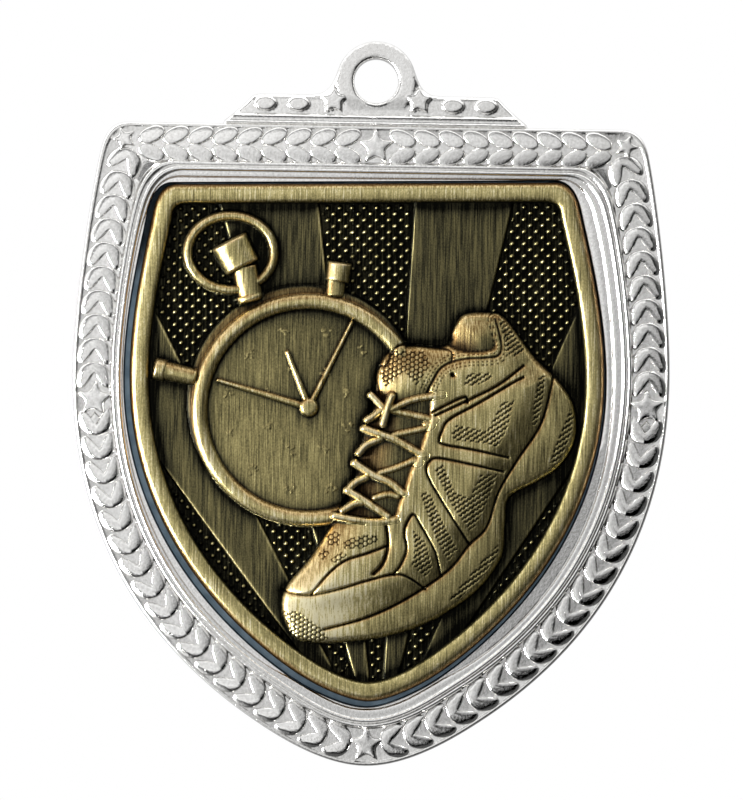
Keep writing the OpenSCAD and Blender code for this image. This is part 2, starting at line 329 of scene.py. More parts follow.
# The wreath is crowned: its leaves slope down on both sides of its middle line
CROWN_SLOPE = 0.17
CROWN_TURN = 1.35
CROWN_FALL = 0.25
TOP_CROWN = 0.5


def pair_outline():
    half = smooth_line(PAIR_HALF, steps=3)
    return np.vstack([half, half[::-1] * [1.0, -1.0]])


def nearest_on(line, points):
    """Nearest point of a polyline to each point."""
    best = np.full(len(points), 1e9)
    found = np.zeros_like(points)
    for a, b in zip(line[:-1], line[1:]):
        v = b - a
        t = np.clip((points - a) @ v / (v @ v), 0.0, 1.0)[:, None]
        on = a + t * v
        d = np.linalg.norm(points - on, axis=1)
        nearer = d < best
        best[nearer] = d[nearer]
        found[nearer] = on[nearer]
    return found


def pillow(shape, spine, profile, base):
    """Rings that close in on a spine while they rise."""
    middle = nearest_on(spine, shape) if len(spine) > 1 else np.broadcast_to(spine, shape.shape)
    return [at_height(middle + share * (shape - middle), base + h) for share, h in profile]


def placed(rings, centre, turn):
    """Turns rings drawn about the origin and moves them to centre."""
    c, s = math.cos(turn), math.sin(turn)
    moved = []
    for ring in rings:
        x = ring[:, 0]
        z = ring[:, 1]
        moved.append(np.column_stack([centre[0] + c * x - s * z, centre[1] + s * x + c * z,
                                      ring[:, 2]]))
    return moved


def leaf_path():
    """Middle line of the right half of the wreath and its length so far."""
    line = half_outline(HOLDER, LEAF_LINE)
    length = np.concatenate([[0.0], np.cumsum(np.linalg.norm(np.diff(line, axis=0), axis=1))])
    return line, length


PATH, PATH_LENGTH = leaf_path()
PATH_END = PATH_LENGTH[-1]
TOP_RUN = (1.7, 26.7, 9)
SIDE_RUN = (27.6, 54.9, 10)
LOW_RUN = (57.6, PATH_END - 1.7, 18)
MIDDLE_STAR = 56.3
STAR_R = 1.95
CORNER_STAR = (28.4, -7.05)
CORNER_STAR_R = 1.3
# From a joined pair's apex to its middle, and from the middle star to the diamond below it
PAIR_MIDDLE = 1.45
DIAMOND_OFFSET = (-0.1, -2.2)


def on_path(s):
    return np.array([np.interp(s, PATH_LENGTH, PATH[:, 0]), np.interp(s, PATH_LENGTH, PATH[:, 1])])


def heading(s):
    v = on_path(s + 0.3) - on_path(s - 0.3)
    return math.atan2(v[1], v[0])


def run_places(run):
    start, end, count = run
    pitch = (end - start) / count
    return [start + (i + 0.5) * pitch for i in range(count)]


def oval(length, width, count=20):
    a = np.arange(count) * 2 * math.pi / count
    return np.column_stack([length / 2 * np.cos(a), width / 2 * np.sin(a)])


def top_leaves():
    """Pairs of the top edge: two flatter leaves each, which open towards the middle star."""
    spread = math.radians(24)
    profile = ((1.1, -0.2), (1.05, 0.2), (1.01, 0.4), (0.95, 0.5), (0.86, 0.55), (0.7, 0.575),
               (0.4, 0.59), (0.15, 0.595))
    shape = oval(3.2, 1.8)
    solids = []
    for s in run_places(TOP_RUN):
        for side in (-1, 1):
            lift = rng.uniform(-0.012, 0.012)
            rings = pillow(shape, np.array([[-0.6, 0.0], [0.6, 0.0]]), profile, BAND_H + lift)
            centre = on_path(s) + [0.0, side * 1.03]
            rings = placed(rings, centre, -side * spread)
            solids.append([crowned(ring, PATH[0, 1], TOP_CROWN) for ring in rings])
    return solids


def crowned(ring, middle=0.0, share=1.0):
    """Lowers a ring by its distance from the wreath's middle line, which runs along x at middle."""
    across = np.abs(ring[:, 1] - middle)
    drop = share * (CROWN_SLOPE * across + CROWN_FALL * np.clip(across - CROWN_TURN, 0.0, None))
    drop = np.where(ring[:, 2] > BAND_H, drop, 0.0)
    return ring - np.column_stack([np.zeros((len(ring), 2)), drop])


def edge_pairs(run, forward):
    """Joined pairs of the sides and the lower edge, whose apex points forward (1) or back (-1)."""
    shape = pair_outline()
    solids = []
    for s in run_places(run):
        lift = rng.uniform(-0.02, 0.02)
        rings = pillow(shape, PAIR_SPINE, LEAF_RINGS, BAND_H + lift)
        rings = [crowned(ring) + [PAIR_MIDDLE, 0.0, 0.0] for ring in rings]
        turn = heading(s) + (0.0 if forward > 0 else math.pi)
        solids.append(placed(rings, on_path(s), turn))
    return solids


def raised_star(centre, radius, turn):
    shape = smooth_line(star_points((0.0, 0.0), radius), closed=True, steps=4)
    profile = ((1.12, -0.2), (1.06, 0.2), (1.0, 0.4), (0.94, 0.52), (0.82, 0.58), (0.4, 0.6))
    rings = pillow(shape, np.array([[0.0, 0.0]]), profile, BAND_H)
    return placed(rings, centre, turn)


def diamond(centre, turn):
    shape = np.array([[0.75, 0.0], [0.0, 0.6], [-0.75, 0.0], [0.0, -0.6]])
    profile = ((1.2, -0.2), (1.0, 0.3), (0.8, 0.42), (0.5, 0.44))
    return placed(pillow(shape, np.array([[0.0, 0.0]]), profile, BAND_H + 0.05), centre, turn)


def mirrored(rings):
    return [ring * [-1.0, 1.0, 1.0] for ring in rings]


def solids_object(name, solids, material):
    points = []
    faces = []
    offset = 0
    for rings in solids:
        p, f = loft(rings)
        faces += [[offset + i for i in face] for face in f]
        points.append(p)
        offset += len(p)
    obj = new_object(name, np.vstack(points), faces, [material], "holder")
    finish_metal(obj, 40)


def build_wreath(silver):
    top = top_leaves()
    sides = edge_pairs(SIDE_RUN, -1)
    low = edge_pairs(LOW_RUN, 1)
    middle = on_path(MIDDLE_STAR)
    corner = raised_star(CORNER_STAR, CORNER_STAR_R, math.radians(-20))
    stars = [corner, raised_star(middle, STAR_R, math.radians(3))]
    stars.append(diamond(middle + DIAMOND_OFFSET, math.radians(85)))
    for name, solids in (("top", top), ("side", sides), ("low", low), ("star", stars)):
        both = solids + [mirrored(rings) for rings in solids]
        if name == "star":
            both += [raised_star((0.1, PATH[end, 1]), STAR_R, 0.0) for end in (0, -1)]
        solids_object("wreath_" + name, both, silver)


# Tab and loop

LOOP_R = 4.5
HOLE_R = 2.5
HOLE_POINTS = 64
TAB_TOP = -1.65
TAB_FOOT = -5.6
TAB_H = 2.2


def arc(centre, radius, start, end, count):
    a = np.radians(np.linspace(start, end, count))
    return np.column_stack([centre[0] + radius * np.cos(a), centre[1] + radius * np.sin(a)])


def tab_outline():
    """Outline of the tab with its loop, clockwise from the top of the loop."""
    crown = arc((0.0, 0.0), LOOP_R, 90, 18, 18)
    flank = smooth_line([(4.28, 1.39), (4.72, 0.2), (5.25, -0.75), (6.1, -1.4), (7.2, -1.63)], steps=5)
    corner = smooth_line([(13.2, TAB_TOP), (13.9, -1.85), (14.6, -2.55)], steps=5)
    foot = np.array([(16.3, -4.05), (17.1, -4.7), (17.5, TAB_FOOT)])
    side = np.linspace([7.2, -1.63], [13.2, TAB_TOP], 12)[1:-1]
    slant = np.linspace([14.6, -2.55], [16.3, -4.1], 6)[1:-1]
    right = np.vstack([crown, flank[1:], side, corner, slant, foot])
    bottom = np.linspace([17.5, TAB_FOOT], [-17.5, TAB_FOOT], 40)[1:-1]
    return np.vstack([right, bottom, right[:0:-1] * [-1.0, 1.0]])


def inset_line(points, d):
    """Closed clockwise outline moved inwards by d."""
    before = np.roll(points, 1, axis=0)
    after = np.roll(points, -1, axis=0)
    tangent = after - before
    tangent /= np.linalg.norm(tangent, axis=1)[:, None]
    return points + d * np.column_stack([tangent[:, 1], -tangent[:, 0]])


TAB_LEAVES = ((8.75, -2.72), (12.5, -2.72))
TAB_STARS = ((-4.75, -2.3), (4.9, -2.2))
STRIP_LINES = (-4.15, -4.85)


def tab_height(x, z):
    """Height of the tab's face."""
    r = np.hypot(x, z)
    h = np.full(x.shape, TAB_H)
    ring = shoulder(LOOP_R + 0.1 - r, 0.45) * step(z, -3.9, -1.6)
    h = np.maximum(h, TAB_H + 0.3 * ring)
    edge = np.clip(1 - np.abs(z - TAB_TOP + 0.25) / 0.3, 0.0, 1.0)
    h = np.maximum(h, np.where(np.abs(x) > 5.4, TAB_H + 0.15 * edge, 0.0))
    for line in STRIP_LINES:
        bead = np.clip(1 - np.abs(z - line) / 0.24, 0.0, 1.0)
        h = np.maximum(h, 2.25 + 0.42 * np.sqrt(1 - (1 - bead) ** 2))
    between = (z < STRIP_LINES[0]) & (z > STRIP_LINES[1])
    h = np.where(between, np.maximum(h, 2.5), h)
    for centre in TAB_LEAVES:
        depth = 1 - np.hypot((np.abs(x) - centre[0]) / 1.3, (z - centre[1]) / 0.82)
        h = np.maximum(h, TAB_H + 0.42 * shoulder(depth, 0.3))
    for centre in TAB_STARS:
        depth = depth_in(star_points(centre, 1.65, inner=0.58), x, z)
        h = np.maximum(h, TAB_H + 0.48 * shoulder(depth, 0.28))
    return h


def build_tab(silver):
    shape = tab_outline()
    outer = [(0.4, 0.0), (0.12, 0.08), (0.0, 0.35), (0.0, 1.75), (0.05, 2.0), (0.16, 2.15)]
    hole = [(0.3, 2.46), (0.16, 2.4), (0.04, 2.25), (0.0, 2.0), (0.0, 0.3), (0.1, 0.1), (0.3, 0.0)]
    circle = arc((0.0, 0.0), 1.0, 0, 360 * (HOLE_POINTS - 1) / HOLE_POINTS, HOLE_POINTS)
    outer_rings = [at_height(inset_line(shape, d), h) for d, h in outer]
    hole_rings = [at_height(circle * (HOLE_R + d), h) for d, h in hole]
    points, faces = loft(outer_rings)
    inner_points, inner_faces = loft(hole_rings)
    offset = len(points)
    faces = faces[:-2] + [[offset + i for i in f] for f in inner_faces[:-2]]
    points = np.vstack([points, inner_points])
    rim = list(range(offset - len(shape), offset))
    mouth = list(range(offset, offset + HOLE_POINTS))
    back_rim = list(range(len(shape)))
    back_mouth = list(range(len(points) - HOLE_POINTS, len(points)))
    points, front = filled_face(points, rim, mouth, 0.17, tab_height)
    points, back = filled_face(points, back_rim, back_mouth)
    faces += front + back
    obj = new_object("loop_tab", points, faces, [silver], "holder")
    finish_metal(obj, 55)


def filled_face(points, rim, mouth, grid=None, height=None):
    """Fills the area between a rim and a hole, with a grid of raised points if one is given."""
    border = points[rim][:, :2]
    hole = points[mouth][:, :2]
    flat = [border, hole]
    if grid:
        lo, hi = border.min(axis=0), border.max(axis=0)
        gx, gz = np.meshgrid(np.arange(lo[0], hi[0], grid), np.arange(lo[1], hi[1], grid))
        clear = 0.45 * grid
        keep = (depth_in(border, gx, gz) > clear) & (depth_in(hole, gx, gz) < -clear)
        inner = np.column_stack([gx[keep], gz[keep]])
        flat.append(inner)
        points = np.vstack([points, np.column_stack([inner, height(inner[:, 0], inner[:, 1])])])
    flat = np.vstack(flat)
    n, m = len(rim), len(mouth)
    first_inner = len(points) - len(flat) + n + m
    index = list(rim) + list(mouth) + list(range(first_inner, len(points)))
    edges = [(i, (i + 1) % n) for i in range(n)] + [(n + i, n + (i + 1) % m) for i in range(m)]
    out = delaunay_2d_cdt([Vector(p) for p in flat], edges, [], 0, 1e-6)
    source = [ids[0] for ids in out[3]]
    triangles = np.array(out[2])
    middle = np.array([out[0][i] for i in triangles.ravel()]).reshape(-1, 3, 2).mean(axis=1)
    keep = is_inside(border, middle[:, 0], middle[:, 1])
    keep &= ~is_inside(hole, middle[:, 0], middle[:, 1])
    return points, [[index[source[i]] for i in t] for t in triangles[keep]]


# Insert's rim

# Inset from the insert's edge, height above the back, brightness of the metal (rubbed wear and patina, with
# painted shade on the walls) and its brown painted shade
RIM_PROFILE = (
    (0.25, 1.25, 0.1, 0.0), (0.05, 1.3, 0.1, 0.0), (0.0, 1.5, 0.1, 0.2), (0.0, 2.45, 0.15, 0.6),
    (0.06, 2.75, 0.3, 1.0), (0.18, 3.05, 0.45, 1.0), (0.34, 3.28, 0.6, 0.8), (0.55, 3.46, 0.78, 0.3),
    (0.8, 3.55, 0.8, 0.0), (1.2, 3.58, 0.74, 0.0), (1.65, 3.55, 0.7, 0.0), (1.92, 3.46, 0.72, 0.0),
    (2.08, 3.3, 0.6, 0.0), (2.18, 3.05, 0.35, 0.0), (2.28, 2.7, 0.06, 0.0), (2.36, 2.3, 0.0, 0.0),
    (2.4, 1.9, 0.0, 0.0), (2.4, 1.4, 0.0, 0.0), (2.2, 1.25, 0.0, 0.0))


def build_rim(gold):
    rings = [at_height(insert_outline(d), h) for d, h, _, _ in RIM_PROFILE]
    points, faces = loft(rings, closed=True)
    obj = new_object("insert_rim", points, faces, [gold], "insert")
    count = len(rings[0])
    # Per ring: brightness from rubbed wear and patina with painted shade on the walls, and the brown painted
    # shade on the outer slope
    set_attribute(obj.data, "wear_and_shade", np.repeat([p[2] for p in RIM_PROFILE], count))
    set_attribute(obj.data, "brown_shade", np.repeat([p[3] for p in RIM_PROFILE], count))
    finish_metal(obj, 60)


# Relief of the insert, as heights on a fine grid

GRID = 0.1
X_AXIS = np.arange(-25.6, 25.6, GRID)
Z_AXIS = np.arange(-69.2, -12.8, GRID)
GX, GZ = np.meshgrid(X_AXIS, Z_AXIS)
FIELD, WATCH, SHOE, LACE = 1, 2, 3, 4


class Relief:
    """Heights, extra brightening and darkening (rubbed wear, patina, painted highlights and painted shade)
    and the piece that each grid point belongs to.
    """

    def __init__(self):
        self.h = np.full(GX.shape, FIELD_H)
        self.extra = np.zeros(GX.shape)
        self.piece = np.full(GX.shape, FIELD)


def near(points, margin):
    """The part of the grid within margin of some points."""
    lo = np.min(points, axis=0) - margin
    hi = np.max(points, axis=0) + margin
    cols = slice(max(0, int((lo[0] - X_AXIS[0]) / GRID)), max(0, int((hi[0] - X_AXIS[0]) / GRID) + 2))
    rows = slice(max(0, int((lo[1] - Z_AXIS[0]) / GRID)), max(0, int((hi[1] - Z_AXIS[0]) / GRID) + 2))
    return rows, cols


def raise_to(relief, part, height, mask, piece, clean=True):
    """Lifts the grid to a height where mask holds, and gives it to a piece."""
    higher = mask & (height > relief.h[part])
    relief.h[part] = np.where(higher, height, relief.h[part])
    relief.piece[part] = np.where(mask, piece, relief.piece[part])
    if clean:
        relief.extra[part] = np.where(mask, 0.0, relief.extra[part])


def tube(relief, points, radius, base, rise, piece, end_radius=None):
    """A rounded bar along a line, which stands up from a base height."""
    line = np.asarray(points, dtype=float)
    part = near(line, radius + 0.2)
    d, along = line_distance(line, GX[part], GZ[part])
    r = radius if end_radius is None else radius + (end_radius - radius) * along
    share = 1 - np.clip(d / r, 0.0, 1.0)
    raise_to(relief, part, base + rise * shoulder(share, 1.0), d < r, piece)


def groove(relief, points, depth=0.24, width=0.13, soft=0.07, smooth=True):
    """A thin engraved line, with the surface on both sides drawn gently towards it."""
    line = smooth_line(points) if smooth else np.asarray(points, dtype=float)
    part = near(line, 1.5)
    d = line_distance(line, GX[part], GZ[part])[0]
    relief.h[part] -= depth * np.exp(-(d / width) ** 2) + soft * np.exp(-(d / 0.6) ** 2)
    relief.extra[part] -= 0.5 * np.exp(-(d / (width * 1.1)) ** 2)


FAN = np.array([1.5, -76.9])
RAY_ANGLES = ((-37.15, -27.35), (-16.85, -7.05), (2.85, 12.65), (22.95, 32.75))
DOT_PITCH = 1.39
DOT_ROW = 0.69
DOT_START = (-22.4, -25.2)


def ray_depth():
    """Distance inside the nearest smooth ray, negative on the dotted fields."""
    angle = np.degrees(np.arctan2(GX - FAN[0], GZ - FAN[1]))
    reach = np.hypot(GX - FAN[0], GZ - FAN[1])
    best = np.full(GX.shape, -1e9)
    for low, high in RAY_ANGLES:
        inside = np.minimum(angle - low, high - angle)
        best = np.maximum(best, np.radians(inside) * reach)
    return best


def lattice(x, z, pitch, row, start, turn=0.0):
    """Distance from the nearest point of a staggered lattice, and the offset from it."""
    c, s = math.cos(turn), math.sin(turn)
    u = c * (x - start[0]) + s * (z - start[1])
    v = -s * (x - start[0]) + c * (z - start[1])
    best = np.full(x.shape, 1e9)
    side, up = np.zeros(x.shape), np.zeros(x.shape)
    for k in (0, 1):
        du = u - k * pitch / 2
        dv = v - k * row
        du = du - pitch * np.round(du / pitch)
        dv = dv - 2 * row * np.round(dv / (2 * row))
        nearer = np.hypot(du, dv) < best
        best = np.where(nearer, np.hypot(du, dv), best)
        side = np.where(nearer, du, side)
        up = np.where(nearer, dv, up)
    return best, side, up


def add_field(relief):
    depth = ray_depth()
    relief.h += (RAY_H - FIELD_H) * step(depth, -0.1, 0.1)
    # Painted highlight: a bright line along the ray edges in the left half
    relief.extra += 0.35 * np.exp(-((depth - 0.12) / 0.14) ** 2) * (GX < 1.5)
    # Painted light: the rays towards the left side are brighter
    relief.extra += 0.09 * step(-GX, 8.0, 18.0) * step(depth, -0.1, 0.1)
    r = lattice(GX, GZ, DOT_PITCH, DOT_ROW, DOT_START, INSERT_TURN)[0]
    dots = step(-depth, 0.25, 0.4)
    relief.h += 0.3 * np.clip(1 - (r / 0.3) ** 2, 0.0, 1.0) * dots
    # Dot tops brighter (rubbed wear and a painted highlight); the dotted field between them darker (patina)
    relief.extra += dots * (0.45 * np.clip(1 - (r / 0.24) ** 2, 0.0, 1.0) - 0.1)


WATCH_C = np.array([-7.1, -37.4])
CASE_C = np.array([-7.5, -36.6])
CASE_R = 13.45
HUB = np.array([-7.0, -37.1])
BEZEL_R = 12.3
BEZEL_HALF = 0.95
DIAL_R = 11.35


def add_case(relief):
    r = np.hypot(GX - WATCH_C[0], GZ - WATCH_C[1])
    skirt = CASE_R - np.hypot(GX - CASE_C[0], GZ - CASE_C[1])
    whole = (slice(None), slice(None))
    raise_to(relief, whole, FIELD_H + 0.75 * shoulder(skirt, 1.3), skirt > 0, WATCH)
    # Painted shade: the case's sloping side is darker
    relief.extra[skirt > 0] = -0.2
    share = 1 - np.clip(np.abs(r - BEZEL_R) / BEZEL_HALF, 0.0, 1.0)
    relief.extra[share > 0] = 0.06
    dial = r < DIAL_R + 0.1
    relief.h[dial] = DIAL_H
    # Painted light and shade: the dial is lighter towards the lower left and darker towards the upper right
    relief.extra[dial] = 0.03 - 0.01 * (GX[dial] - WATCH_C[0] + GZ[dial] - WATCH_C[1])
    raise_to(relief, whole, DIAL_H - 0.15 + 1.05 * shoulder(share, 1.0), share > 0, WATCH, False)


def add_marks(relief):
    """Small plain studs round the dial, in place of its figures."""
    for ring_r, count, start in ((9.1, 12, 12.0), (4.9, 8, 22.0)):
        for i in range(count):
            a = math.radians(start + 360.0 * i / count)
            centre = WATCH_C + ring_r * np.array([math.sin(a), math.cos(a)])
            for _ in range(6):
                spot = centre + rng.uniform(-0.5, 0.5, 2)
                tube(relief, [spot, spot + rng.uniform(-0.25, 0.25, 2)], 0.14, DIAL_H - 0.04, 0.12, WATCH)


def add_hands(relief):
    hands = (((-17.35, -34.2), 0.42, 0.24), ((-9.55, -30.9), 0.4, 0.24), ((-2.3, -27.4), 0.36, 0.22))
    for tip, near_r, far_r in hands:
        tube(relief, [HUB, tip], near_r, DIAL_H, 0.48, WATCH, far_r)
    part = near([HUB], 1.4)
    share = 1 - np.clip(np.hypot(GX[part] - HUB[0], GZ[part] - HUB[1]) / 1.08, 0.0, 1.0)
    raise_to(relief, part, DIAL_H + 0.75 * shoulder(share, 0.55), share > 0, WATCH)


def barrel(relief, start, end, half_start, half_end, base, rise, piece, round_end=0.25):
    """A cylinder lying along a line: half round across it, with softened ends."""
    a = np.array(start)
    v = np.array(end) - a
    length = np.linalg.norm(v)
    u = v / length
    part = near([a, end], max(half_start, half_end) + 0.3)
    along = (GX[part] - a[0]) * u[0] + (GZ[part] - a[1]) * u[1]
    across = np.abs((GX[part] - a[0]) * -u[1] + (GZ[part] - a[1]) * u[0])
    half = half_start + (half_end - half_start) * np.clip(along / length, 0.0, 1.0)
    side = np.clip(1 - across / half, 0.0, 1.0)
    end_depth = np.minimum(along, length - along)
    height = base + rise * shoulder(side, 1.0) * shoulder(end_depth, round_end)
    raise_to(relief, part, height, (side > 0) & (end_depth > 0), piece)


def add_crown(relief):
    a = np.radians(np.linspace(0, 360, 49))
    bow = np.column_stack([-16.15 + 4.9 * np.cos(a), -19.75 + 4.2 * np.sin(a)])
    tube(relief, bow, 0.62, FIELD_H, 1.1, WATCH)
    barrel(relief, (-14.6, -21.2), (-13.75, -24.9), 1.5, 1.5, FIELD_H, 1.5, WATCH)
    barrel(relief, (-14.0, -24.3), (-13.7, -25.4), 1.65, 1.5, FIELD_H, 1.65, WATCH, 0.5)
    barrel(relief, (-14.7, -21.5), (-16.4, -18.3), 2.1, 2.22, FIELD_H, 2.0, WATCH, 0.45)
    barrel(relief, (-4.3, -24.6), (-4.1, -22.5), 1.15, 1.15, FIELD_H, 1.15, WATCH)
    barrel(relief, (-4.05, -22.9), (-3.75, -20.6), 1.36, 1.42, FIELD_H, 1.5, WATCH, 0.3)
    barrel(relief, (-19.7, -33.95), (-23.6, -33.15), 1.05, 1.15, FIELD_H, 1.4, WATCH, 0.3)
    barrel(relief, (-23.2, -33.25), (-24.7, -32.95), 1.3, 1.33, FIELD_H, 1.6, WATCH, 0.4)


SHOE_OUTLINE = [
    (8.3, -29.8), (9.2, -27.8), (10.4, -26.2), (13.6, -26.0), (15.2, -26.8), (18.5, -31.0),
    (21.4, -33.8), (23.1, -36.6), (23.3, -40.2), (21.6, -43.3), (18.8, -45.3), (15.9, -47.0),
    (15.5, -50.0), (15.1, -53.8), (12.0, -58.0), (6.5, -61.5), (0.5, -63.3), (-7.2, -63.7),
    (-9.4, -61.3), (-9.5, -57.8), (-6.6, -54.0), (-4.2, -50.0), (-2.2, -46.5), (-0.9, -40.5),
    (0.3, -36.0), (0.6, -32.6), (2.2, -30.4), (5.0, -29.8)]
UPPER_OUTLINE = [
    (9.0, -29.6), (10.2, -26.9), (13.6, -26.7), (17.6, -31.0), (20.6, -33.2), (19.3, -38.4),
    (16.7, -42.6), (14.6, -46.3), (13.3, -50.3), (11.3, -52.4), (9.0, -55.3), (4.3, -58.6),
    (-0.2, -60.2), (-6.4, -60.0), (-9.0, -58.0), (-6.2, -53.8), (-3.6, -49.6), (-1.8, -45.6),
    (-0.2, -39.0), (1.0, -33.6), (2.6, -30.8), (6.0, -30.2)]
MIDSOLE = UPPER_OUTLINE[4:12] + [(-0.2, -60.8), (-4.9, -62.2)]
TOE_LINE = [(-9.6, -57.8), (-8.3, -58.2), (-6.3, -58.3), (-3.3, -57.6), (-0.2, -56.6), (2.9, -55.8),
            (4.5, -56.1), (6.5, -57.4)]
VAMP_LINE = [(-6.3, -58.2), (-5.5, -57.1), (-4.1, -55.5), (-2.5, -54.3), (-0.2, -53.5), (2.1, -52.6)]
STRAP = [(2.0, -50.4), (2.2, -52.4), (1.9, -54.0), (1.4, -55.0), (0.6, -55.8)]
QUARTER = [(2.9, -55.8), (3.8, -54.5), (4.3, -52.9), (4.05, -51.3), (4.2, -50.2), (5.0, -49.0),
           (5.9, -50.3), (6.8, -51.8), (7.6, -53.4), (8.2, -55.8)]
U_PANEL = [(11.3, -52.2), (9.0, -48.7), (6.9, -45.3), (6.4, -43.8), (6.8, -42.9), (7.8, -42.6),
           (11.2, -43.2), (15.1, -44.0)]
HEEL_PANEL = [(15.6, -42.4), (11.7, -41.6), (8.3, -41.05), (7.8, -40.5), (8.1, -39.5), (8.9, -38.2),
              (12.2, -36.3), (15.6, -34.2), (17.2, -33.3)]
STRIPE = [(7.3, -37.8), (11.2, -35.9), (14.4, -34.2), (17.2, -32.0)]
PULL_LOOP = [(7.0, -37.4), (8.5, -36.6), (10.1, -35.8), (10.8, -35.7), (10.9, -36.3)]
COLLAR_EDGE = [(6.4, -35.1), (7.0, -33.8), (7.8, -32.5), (9.1, -31.7), (10.9, -31.3), (12.7, -31.2),
               (14.3, -30.9), (14.6, -29.5), (13.9, -26.8)]
COLLAR = [(8.5, -29.9), (9.3, -28.0), (10.5, -26.8), (13.4, -26.7), (14.1, -28.9), (14.1, -30.2),
          (12.7, -30.85), (10.4, -30.8)]
TONGUE = [(0.9, -35.6), (0.5, -33.5), (0.9, -32.3), (1.7, -32.2), (2.4, -30.6), (3.6, -29.8),
          (6.2, -30.0), (8.8, -30.4), (9.1, -31.5), (7.6, -32.5), (6.8, -33.9), (6.3, -35.3)]
EYELET = (9.2, -33.2)
THROAT = [(0.6, -33.8), (6.4, -34.0), (7.0, -37.5), (6.2, -41.0), (5.0, -44.0), (4.0, -47.0),
          (2.5, -49.8), (-3.4, -49.3), (-2.5, -46.4), (-1.3, -42.0), (-0.5, -39.0)]

# Patches of texture on the upper
HONEYCOMB_PATCHES = [
    [(-4.9, -51.6), (-4.0, -51.0), (-3.1, -51.3), (-3.4, -52.7), (-4.5, -52.7)],
    [(-3.1, -52.5), (-2.2, -51.8), (-0.4, -51.3), (1.0, -51.4), (1.1, -52.1), (-0.6, -52.9), (-2.6, -53.1)],
    [(-5.9, -53.7), (-5.0, -53.0), (-4.3, -53.4), (-5.1, -54.4)],
    [(-4.5, -54.4), (-3.2, -53.3), (-2.3, -53.6), (-3.3, -54.7)]]
MESH_PATCHES = [
    [(5.0, -50.7), (6.4, -52.0), (7.3, -55.0), (6.5, -56.1), (4.9, -54.7), (5.2, -53.0)],
    [(5.7, -46.5), (6.8, -46.4), (8.7, -50.4), (10.1, -52.9), (9.0, -54.3), (7.5, -51.5)],
    [(7.2, -43.7), (8.3, -43.3), (9.7, -46.4), (11.3, -47.0), (12.5, -44.4), (14.4, -44.3), (13.7, -46.6),
     (12.1, -50.2), (11.4, -50.7), (9.4, -48.1)],
    [(9.1, -39.6), (9.7, -38.8), (13.2, -39.4), (14.8, -36.2), (16.2, -35.9), (15.5, -39.1), (14.4, -41.3),
     (13.1, -40.9), (9.4, -40.6)],
    [(10.5, -34.3), (10.8, -33.0), (13.4, -32.8), (13.7, -33.4), (11.9, -34.4)],
    [(14.2, -26.7), (15.2, -27.0), (17.3, -30.2), (16.4, -31.2), (15.1, -30.6), (14.9, -28.6)],
    [(18.2, -38.6), (18.4, -36.0), (18.9, -33.1), (19.7, -33.1), (19.4, -36.0), (18.8, -38.8)],
    [(20.3, -43.0), (20.9, -41.0), (22.1, -38.0), (22.5, -36.8), (23.0, -37.6), (22.6, -40.0),
     (21.4, -42.8)],
    [(9.2, -58.6), (11.4, -55.9), (13.4, -53.5), (14.6, -52.3), (14.8, -53.2), (12.8, -56.1), (10.4, -58.5)]]
STUD_PATCHES = [
    [(2.2, -30.5), (5.9, -30.5), (6.8, -32.0), (5.1, -34.5), (3.7, -32.9), (1.6, -34.7), (0.9, -33.0)],
    [(-9.5, -60.1), (-7.8, -60.1), (-5.3, -61.9), (-4.2, -63.3), (-6.5, -63.8), (-8.8, -62.8)]]


def mesh_patch(relief, points):
    """Rows of small nicks, each an arc that opens up and left."""
    shape = np.array(points)
    part = near(shape, 0.3)
    x, z = GX[part], GZ[part]
    fade = step(depth_in(shape, x, z), -0.02, 0.1)
    r, side, up = lattice(x, z, 0.58, 0.42, (0.0, 0.0), math.radians(-20))
    arc_line = np.exp(-((r - 0.2) / 0.075) ** 2) * step(side - up, -0.08, 0.1)
    relief.h[part] -= fade * 0.12 * arc_line
    relief.extra[part] -= fade * 0.75 * arc_line


def stitches(relief, points, offset, pitch=0.5):
    """A row of short nicks beside a line."""
    line = smooth_line(points)
    part = near(line, 1.0)
    d, along = line_distance(line, GX[part], GZ[part])
    length = np.linalg.norm(np.diff(line, axis=0), axis=1).sum()
    wave = np.sin(2 * math.pi * along * length / pitch)
    nick = np.exp(-((d - offset) / 0.08) ** 2) * step(wave, -0.2, 0.4)
    relief.h[part] -= 0.08 * nick
    relief.extra[part] -= 0.45 * nick


def bump_patch(relief, points, pitch, rise):
    """Round bumps close together, with dark lines between them."""
    shape = np.array(points)
    part = near(shape, 0.3)
    x, z = GX[part], GZ[part]
    fade = step(depth_in(shape, x, z), -0.02, 0.1)
    r = lattice(x, z, pitch, pitch * 0.866, (0.0, 0.0), math.radians(-32))[0]
    line = step(r, 0.3 * pitch, 0.52 * pitch)
    relief.h[part] += fade * rise * (0.4 - line)
    relief.extra[part] -= fade * (0.06 + 0.7 * line)


def add_shoe(relief):
    shape = smooth_line(SHOE_OUTLINE, closed=True, steps=5)
    upper = smooth_line(UPPER_OUTLINE, closed=True, steps=5)
    part = near(shape, 0.5)
    x, z = GX[part], GZ[part]
    depth = depth_in(shape, x, z)
    lift = depth_in(upper, x, z)
    edge_rise, crown_rise, upper_rise = 0.75, 0.75, 0.8
    height = FIELD_H + edge_rise * shoulder(depth, 0.8) + crown_rise * shoulder(depth, 4.2)
    height += upper_rise * step(lift, -0.6, 3.6)
    mask = depth > 0
    relief.h[part] = np.where(mask, np.maximum(height, relief.h[part] + 0.05), relief.h[part])
    relief.piece[part] = np.where(mask, SHOE, relief.piece[part])
    relief.extra[part] = np.where(mask, 0.0, relief.extra[part])


def add_throat(relief):
    """The hollow under the laces, which runs out into the tongue above."""
    shape = smooth_line(THROAT, closed=True, steps=4)
    part = near(shape, 0.5)
    inside = step(depth_in(shape, GX[part], GZ[part]), -0.1, 0.5)
    inside *= step(-GZ[part], 33.8, 37.0)
    relief.h[part] -= 0.4 * inside
    relief.extra[part] -= 0.3 * inside


